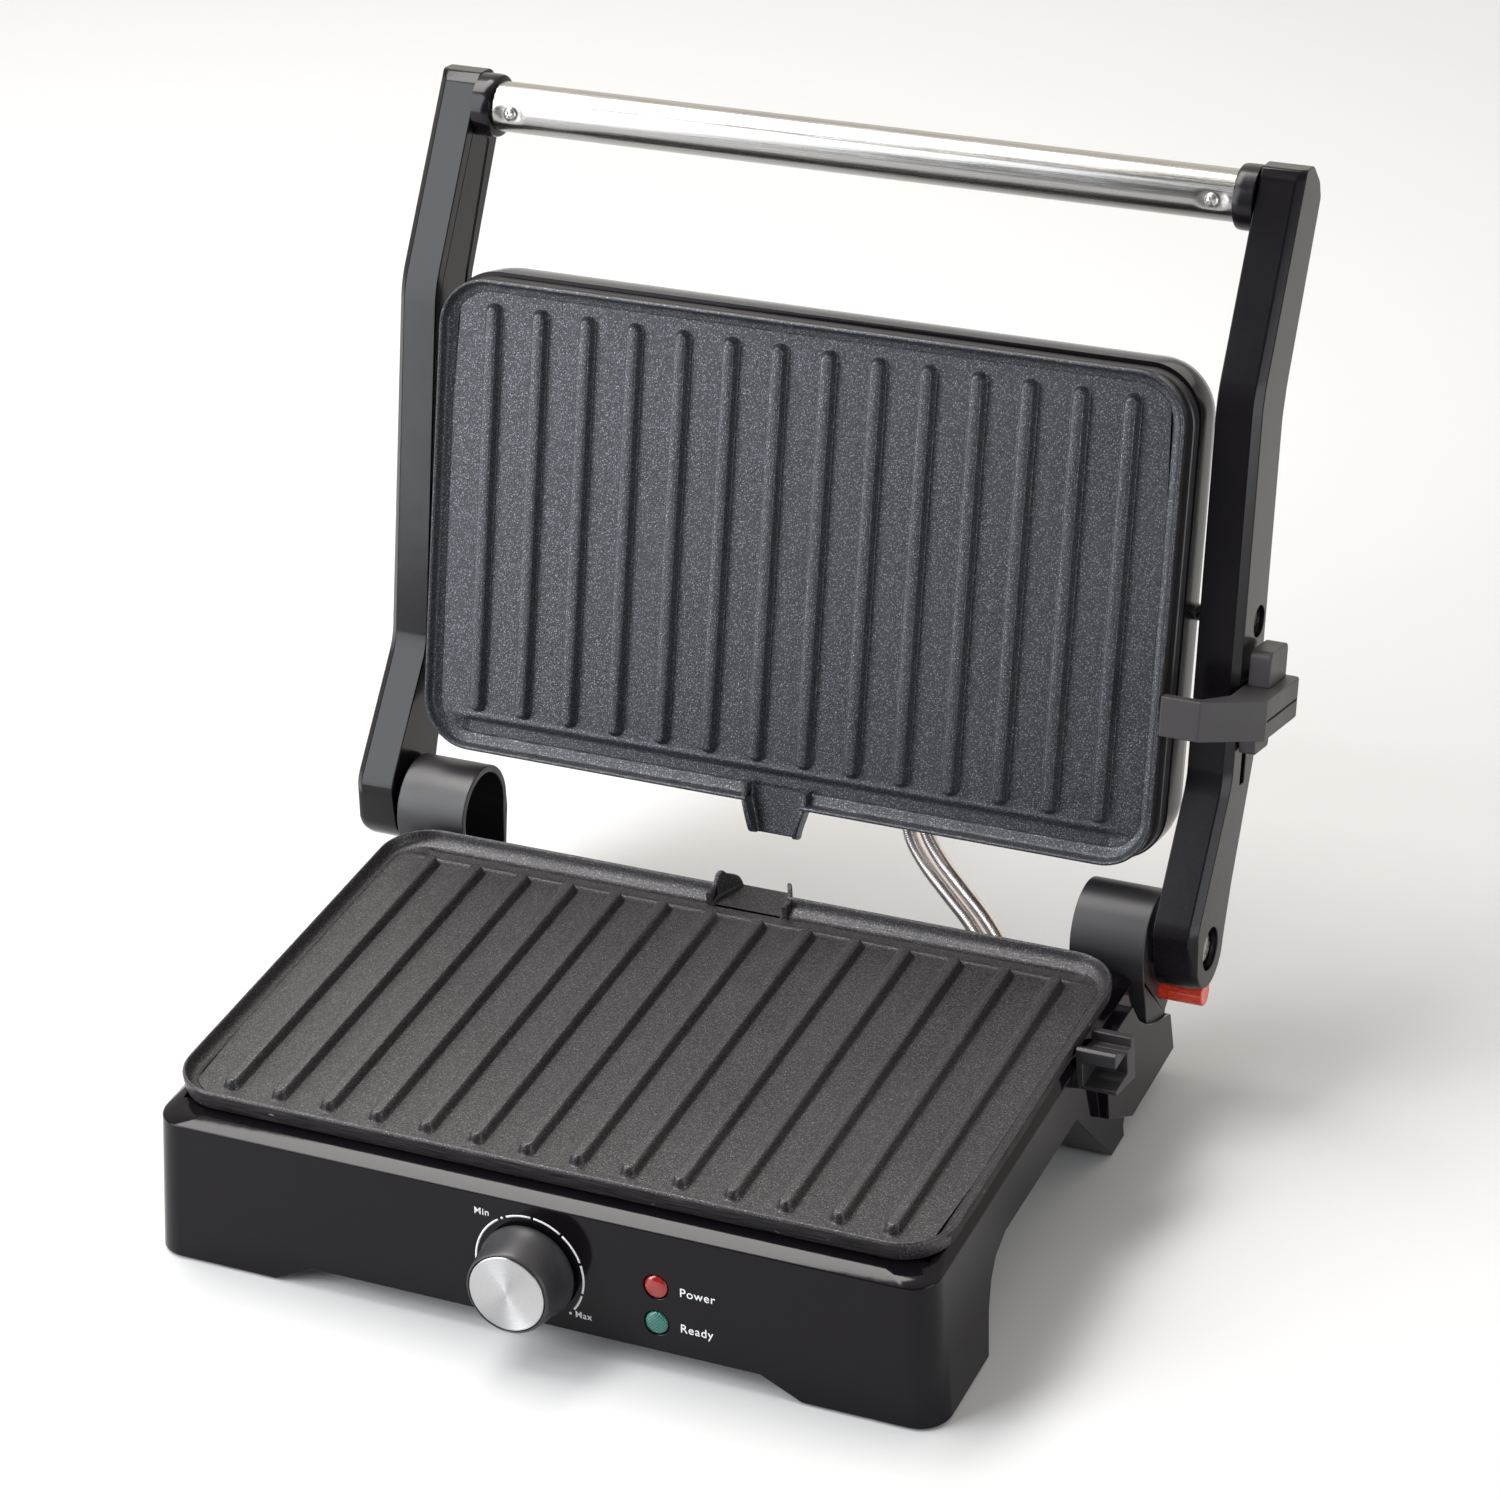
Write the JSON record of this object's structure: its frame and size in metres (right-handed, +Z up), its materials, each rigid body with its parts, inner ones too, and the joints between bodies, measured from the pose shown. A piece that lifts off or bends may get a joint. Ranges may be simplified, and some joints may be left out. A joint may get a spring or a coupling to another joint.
{
  "type": "panini press",
  "caption": "Contact grill: ribbed lower plate on a legged base, ribbed upper plate on two hinged arms with a tube handle, thermostat dial, height slider and release button.",
  "frame": {"origin": "middle of the object's footprint at table height: the centre of the whole box, at its bottom", "axes": "+X to the right along the front panel, +Y towards the hinge at the back, +Z up; stored with the upper half open 106.7 degrees"},
  "size_m": [0.3755, 0.3806, 0.3348],
  "materials": {
    "gloss_black_plastic": "piano gloss black",
    "satin_black_plastic": "satin dark grey",
    "nonstick_aluminium": "cast, with a speckled dark non-stick coating",
    "reflector_aluminium": "bright sheet",
    "bare_steel": "brushed",
    "ceramic_tan": "matt insulating moulding",
    "red_lens": "clear tinted",
    "green_lens": "clear tinted",
    "lamp_glass": "neon indicator",
    "foot_rubber": "matt",
    "red_plastic": "gloss",
    "dial_aluminium": "fine spun"
  },
  "bodies": {
    "base": {"base_shell": "gloss_black_plastic", "base_bottom_cover": "satin_black_plastic", "lower_plate": "nonstick_aluminium", "lower_reflector": "reflector_aluminium", "lower_element": "bare_steel", "thermostat_body": "ceramic_tan", "power_lens": "red_lens", "ready_lens": "green_lens", "power_lamp": "lamp_glass", "ready_lamp": "lamp_glass", "hinge_pillar_left": "satin_black_plastic", "hinge_pillar_right": "satin_black_plastic", "hinge_pin_left": "bare_steel", "hinge_pin_right": "bare_steel", "hinge_nut_left": "bare_steel", "hinge_nut_right": "bare_steel", "hinge_washer_left": "bare_steel", "hinge_washer_right": "bare_steel", "foot_front_left": "foot_rubber", "foot_front_right": "foot_rubber", "foot_rear_left": "foot_rubber", "foot_rear_right": "foot_rubber", "terminal_block": "ceramic_tan", "cord_gland": "foot_rubber", "conduit_left": "bare_steel", "conduit_right": "bare_steel", "release_spring": "bare_steel", "button_spring_cap": "satin_black_plastic"},
    "arms": {"arm_left": "gloss_black_plastic", "arm_right": "gloss_black_plastic", "arm_cover_left": "satin_black_plastic", "arm_cover_right": "satin_black_plastic", "handle_tube": "bare_steel", "handle_collar_left": "satin_black_plastic", "handle_collar_right": "satin_black_plastic", "handle_screw_left": "bare_steel", "handle_screw_right": "bare_steel", "float_pin_left": "bare_steel", "float_pin_right": "bare_steel"},
    "upper_housing": {"upper_cover": "gloss_black_plastic", "upper_frame": "satin_black_plastic", "upper_plate": "nonstick_aluminium", "upper_reflector": "reflector_aluminium", "upper_element": "bare_steel", "thermal_fuse": "bare_steel"},
    "height_slider": {"height_slider": "satin_black_plastic"},
    "release_button": {"release_button": "red_plastic"},
    "dial": {"dial_knob": "satin_black_plastic", "dial_disc": "dial_aluminium", "dial_spindle": "bare_steel"}
  },
  "joints": [
    {"name": "arm_hinge", "type": "hinge", "parent": "base", "child": "arms", "pos_m": [-0.0075, 0.0585, 0.0635], "axis": [1, 0, 0], "range_deg": [-74, 99.5], "deforming": ["conduit_left", "conduit_right"]},
    {"name": "housing_float", "type": "hinge", "parent": "arms", "child": "upper_housing", "pos_m": [-0.0075, 0.11769, 0.17473], "axis": [1, 0, 0], "range_deg": [-6, 8], "deforming": ["conduit_left", "conduit_right"]},
    {"name": "height_slide", "type": "slide", "parent": "arms", "child": "height_slider", "axis": [0, 0.2706, 0.9627], "range_m": [-0.012, 0.01]},
    {"name": "button_press", "type": "slide", "parent": "base", "child": "release_button", "axis": [-1, 0, 0], "range_m": [0, 0.004], "stiffness_N_per_m": 200, "springref_m": -0.002, "deforming": ["release_spring"]},
    {"name": "dial_turn", "type": "hinge", "parent": "base", "child": "dial", "pos_m": [-0.0075, -0.16874, 0.0302], "axis": [0, -0.993, 0.1184], "range_deg": [-210, 0]}
  ],
  "couplings": [
    {"joint": "housing_float", "follows": "arm_hinge", "ratio": 0.0723}
  ]
}
